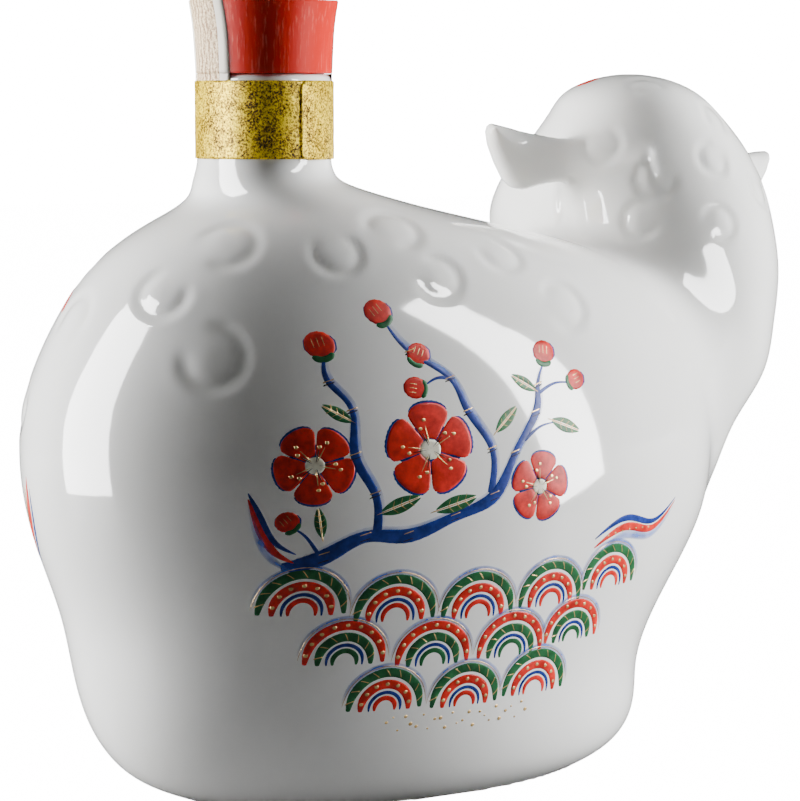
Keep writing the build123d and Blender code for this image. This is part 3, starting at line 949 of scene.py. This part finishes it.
columns = np.linspace(-strip_half, strip_half, 15)
strip_points, across_values, along_values = [], [], []
for thick, ripple in ((0.19, 0.05), (0.04, 0.0)):
    half = strip_path(thick)
    path = [(-r, h) for r, h in half] + [(r, h) for r, h in half[-2::-1]]
    run = 0.0
    for i, (x, h) in enumerate(path):
        if i:
            run += math.hypot(x - path[i - 1][0], h - path[i - 1][1])
        for y in columns:
            bow = abs(x)
            if bow > 12.0:
                bow = math.sqrt(max(x * x - y * y, 0)) + ripple * math.sin(0.9 * y + 0.35 * h)
            strip_points.append((neck_x + math.copysign(bow, x), y, cap_z + h))
            across_values.append(-y)
            along_values.append(run)
strip = new_mesh("seal_strip", strip_points, sheet_faces(len(path), len(columns)))
keep_values(strip, "across", across_values)
keep_values(strip, "along", along_values)
strip.data.materials.append(paper)
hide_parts("seal_strip_cap")
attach(strip, "stopper")

end_r = 12.64
half = math.degrees(math.asin(strip_half / end_r))
for name, node, middle, hand in (
    ("seal_end_rear", "seal_tail_rear", 180, 1),
    ("seal_end_front", "seal_tail_front", 0, -1),
):
    points, faces = band(end_r, 0.15, 126.6, 135.62, middle - half, middle + half, 24, 16)
    end = new_mesh(name, points, faces)
    keep_values(end, "across", [-y for x, y, z in points])
    keep_values(end, "along", [hand * (z - cap_z) for x, y, z in points])
    end.data.materials.append(paper)
    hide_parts(node)
    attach(end, "decanter")


# Stopper cap: turned wood, lacquered red, its open grain still showing as fine upright streaks, painted
# paler as glints of light along them.
# Flared to a crisp rim, and glued over the plug's stem.
def lathe(name, profile, around):
    """Closed turned form about the neck's axis from (radius, height) points above the cap's foot."""
    points = []
    for r, h in profile:
        points += neck_circle(r, cap_z + h, around)
    return new_mesh(name, points, ring_faces(len(profile), around))


cap_profile = [(0.2, 5.95), (6.95, 5.95), (7.0, 5.9), (7.0, 0.15), (7.1, 0.02), (12.42, 0.0), (12.58, 0.05)]
cap_profile += [(cap_radius(h), h) for h in np.linspace(0.15, 13.05, 26)]
cap_profile += [(13.88, 13.2), (13.82, 13.37), (13.68, 13.47), (13.4, cap_height)]
cap_profile += [(r, cap_height) for r in (12.4, 9.3, 6.2, 3.1, 0.2)]
cap = lathe("red_cap", cap_profile, 160)
lacquer = (0.52, 0.014, 0.008)
wood, graph, shader, place = new_material("red_lacquered_wood", lacquer, 0.34)
streaks = graph.add("ShaderNodeMapping", {"Vector": place, "Scale": (1, 1, 0.06)})["Vector"]
grain = graph.noise(streaks, 1900, 4, 0.7)
# Painted highlight: pale streaks follow the real grain, and their pale colour stands for glints of light on
# it.
grain_glints = graph.math("MULTIPLY", graph.ramp(grain, (0.55, 0.0), (0.63, 1.0)), 0.38)
surface = {
    "Base Color": graph.mixed(grain_glints, lacquer, (0.8, 0.17, 0.12)),
    "Roughness": graph.ramp(grain, (0.4, 0.3), (0.7, 0.44)),
    "Specular IOR Level": 0.045,
    "Normal": graph.bump(grain, 0.00008, 0.8),
}
graph.fill(shader, surface)
cap.data.materials.append(wood)
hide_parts("stopper_cap")
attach(cap, "stopper")

# Plug: moulded natural polyethylene, its stem glued in the cap.
# It is hollow from below, and its foot is cut back so that it enters the bore easily.
plug_profile = [(0.2, -1.45), (6.3, -1.45), (6.35, -1.55), (6.35, -17.05), (6.25, -17.95), (6.4, -18.0)]
plug_profile += [(7.5, -16.65), (7.6, -16.45), (7.6, -0.05), (7.55, -0.01), (6.95, 0.0)]
plug_profile += [(6.95, 5.85), (6.8, 5.94), (0.2, 5.94)]
plug = lathe("sealing_plug", plug_profile, 96)
plastic, graph, shader, place = new_material("natural_polyethylene", (0.8, 0.79, 0.74), 0.38)
surface = {
    "Base Color": graph.ramp(graph.noise(place, 90), (0.3, (0.77, 0.76, 0.7)), (0.7, (0.83, 0.82, 0.77))),
    "Subsurface Weight": 0.35,
    "Subsurface Scale": 0.002,
    "Normal": graph.bump(graph.noise(place, 700, 2), 0.00003, 0.5),
}
graph.fill(shader, surface)
plug.data.materials.append(plastic)
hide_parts("stopper_plug")
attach(plug, "stopper")

# Sealing fins of the plug, moulded with its stem: four thin hoops that spring against the bore.
# One hoop is drawn, and Geometry Nodes set it down the stem at its pitch.
fin_section = ((7.5, -1.5), (7.75, -1.3), (8.42, -1.15), (8.54, -0.85), (8.5, -0.2), (7.7, 0.0), (7.5, 0.0))
fin_around, first_fin = 96, -2.2
fin_points = []
for r, h in fin_section:
    fin_points += neck_circle(r, cap_z + first_fin + h, fin_around)
fin_faces = ring_faces(len(fin_section), fin_around, closed=False)
last = len(fin_points) - fin_around
fin_faces += [(last + k, last + (k + 1) % fin_around, (k + 1) % fin_around, k) for k in range(fin_around)]
fin = new_mesh("fin", fin_points, fin_faces)

row, slots, given, made = node_group(
    "GeometryNodeTree",
    "row_of_fins",
    (("Fin", "Geometry"), ("Fins", "Int"), ("Pitch", "Float"), ("Plastic", "Material")),
    (("Row", "Geometry"),),
)
graph = Graph(row)
step = graph.add("ShaderNodeCombineXYZ", {"Z": graph.math("MULTIPLY", given["Pitch"], -1.0)})["Vector"]
spots = graph.add("GeometryNodeMeshLine", {"Count": given["Fins"], "Offset": step})["Mesh"]
copies = graph.add("GeometryNodeInstanceOnPoints", {"Points": spots, "Instance": given["Fin"]})["Instances"]
real = graph.add("GeometryNodeRealizeInstances", {"Geometry": copies})["Geometry"]
moulded = graph.add("GeometryNodeSetMaterial", {"Geometry": real, "Material": given["Plastic"]})["Geometry"]
row.links.new(moulded, made["Row"])
repeat = fin.modifiers.new("row", "NODES")
repeat.node_group = row
for title, value in (("Fins", 4), ("Pitch", 0.0038), ("Plastic", plastic)):
    repeat[slots[title].identifier] = value
fins = flattened(fin, "sealing_fins")
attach(fins, "stopper")

# Studio: a pale floor before a white backdrop, softboxes and the photographer's longer lens.
# The softboxes shape the form, and the panels draw the bright bands in its glaze.
room_glow, backdrop_glow, floor_glow = 0.02, 20.0, 16.0
world = bpy.data.worlds.new("studio")
bpy.context.scene.world = world
world.use_nodes = True
graph = Graph(world.node_tree)
facing = graph.nodes.new("ShaderNodeVectorMath")
facing.operation = "DOT_PRODUCT"
way = graph.nodes.new("ShaderNodeTexCoord").outputs["Generated"]
facing = graph.fill(facing, {0: way, 1: (-0.527, -0.844, 0.0995)})["Value"]
room = graph.ramp(graph.math("MULTIPLY_ADD", facing, 0.5, 0.5), (0.4, 1.0), (0.6, 0.15), (0.85, 0.02))
seen = graph.nodes.new("ShaderNodeLightPath").outputs["Is Camera Ray"]
glow = graph.math("MULTIPLY_ADD", seen, backdrop_glow - room_glow, room_glow)
graph.fill(graph.nodes["Background"], {"Color": graph.mixed(seen, room, (1, 1, 1)), "Strength": glow})


def softbox(name, place, aim, width, height, power, matt, lean=0.0):
    """Softbox that faces its aim. It either lights what is matt or is mirrored in what is glossy."""
    light = bpy.data.lights.new(name, "AREA")
    light.shape = "RECTANGLE"
    light.size, light.size_y = width * mm, height * mm
    light.energy = power
    box = placed(name, light)
    box.location = Vector(place) * mm
    facing_aim = (Vector(aim) - Vector(place)).to_track_quat("-Z", "Y")
    box.rotation_euler = (facing_aim @ Quaternion((0, 0, 1), math.radians(lean))).to_euler()
    box.visible_diffuse, box.visible_glossy = matt, not matt
    return box


def round_about(azimuth, reach, height):
    """Place at an angle round the decanter, in degrees from +X."""
    return (*spoke(0, 0, reach, math.radians(azimuth)), height)


wide, low = 3000, -0.02
corners = [(-wide, -wide, low), (wide, -wide, low), (wide, wide, low), (-wide, wide, low)]
floor = new_mesh("floor", corners, [(0, 1, 2, 3)])
floor_material, graph, shader, place = new_material("pale_floor", (0.08, 0.08, 0.08), 0.6)
seen = graph.nodes.new("ShaderNodeLightPath").outputs["Is Camera Ray"]
glow = graph.math("MULTIPLY", seen, floor_glow)
graph.fill(shader, {"Emission Color": (1, 1, 1), "Emission Strength": glow})
floor.data.materials.append(floor_material)

turn, tip = math.radians(32), math.atan(0.1)
forward = Vector((math.sin(turn) * math.cos(tip), math.cos(turn) * math.cos(tip), -math.sin(tip)))
target = Vector((5.85, 0, 72.57))
lens = bpy.data.cameras.new("camera")
lens.sensor_width = 36
lens.sensor_fit = "HORIZONTAL"
focal_pixels, picture_pixels = 3000, 801
lens.lens = lens.sensor_width * focal_pixels / picture_pixels
lens.clip_end = 20
camera = placed("camera", lens)
camera_distance = 582.9
camera.location = (target - forward * camera_distance) * mm
camera.rotation_euler = forward.to_track_quat("-Z", "Y").to_euler()
bpy.context.scene.camera = camera

softbox("left_softbox", round_about(143, 700, 165), (0, 0, 70), 330, 520, 28, True)
softbox("right_softbox", round_about(-18, 700, 165), (0, 0, 70), 330, 520, 27, True)
softbox("overhead_softbox", (-30, -90, 760), (0, 0, 90), 420, 420, 0.9, True)
softbox("left_panel", round_about(175.5, 262, 166), (0, 0, 166), 132, 328, 5.6, False)
softbox("right_panel", round_about(-56, 258, 170), (0, 0, 170), 65, 335, 2.6, False, 22)
ear_fill = softbox("ear_fill", (-10, -75, 190), (38, -4, 118), 40, 40, 0.0032, True)
ear_fill.data.spread = math.radians(40)

# Black flag beside the lens: it keeps the right panel off the back of the head
corners = [(66, -113, 148), (106, -88, 144), (104, -90, 215), (56, -120, 215)]
flag = new_mesh("black_flag", corners, [(0, 1, 2, 3)], False)
velvet, graph, shader, place = new_material("black_velvet", (0.0, 0.0, 0.0), 1.0)
graph.fill(shader, {"Specular IOR Level": 0.0})
flag.data.materials.append(velvet)
flag.visible_camera = False
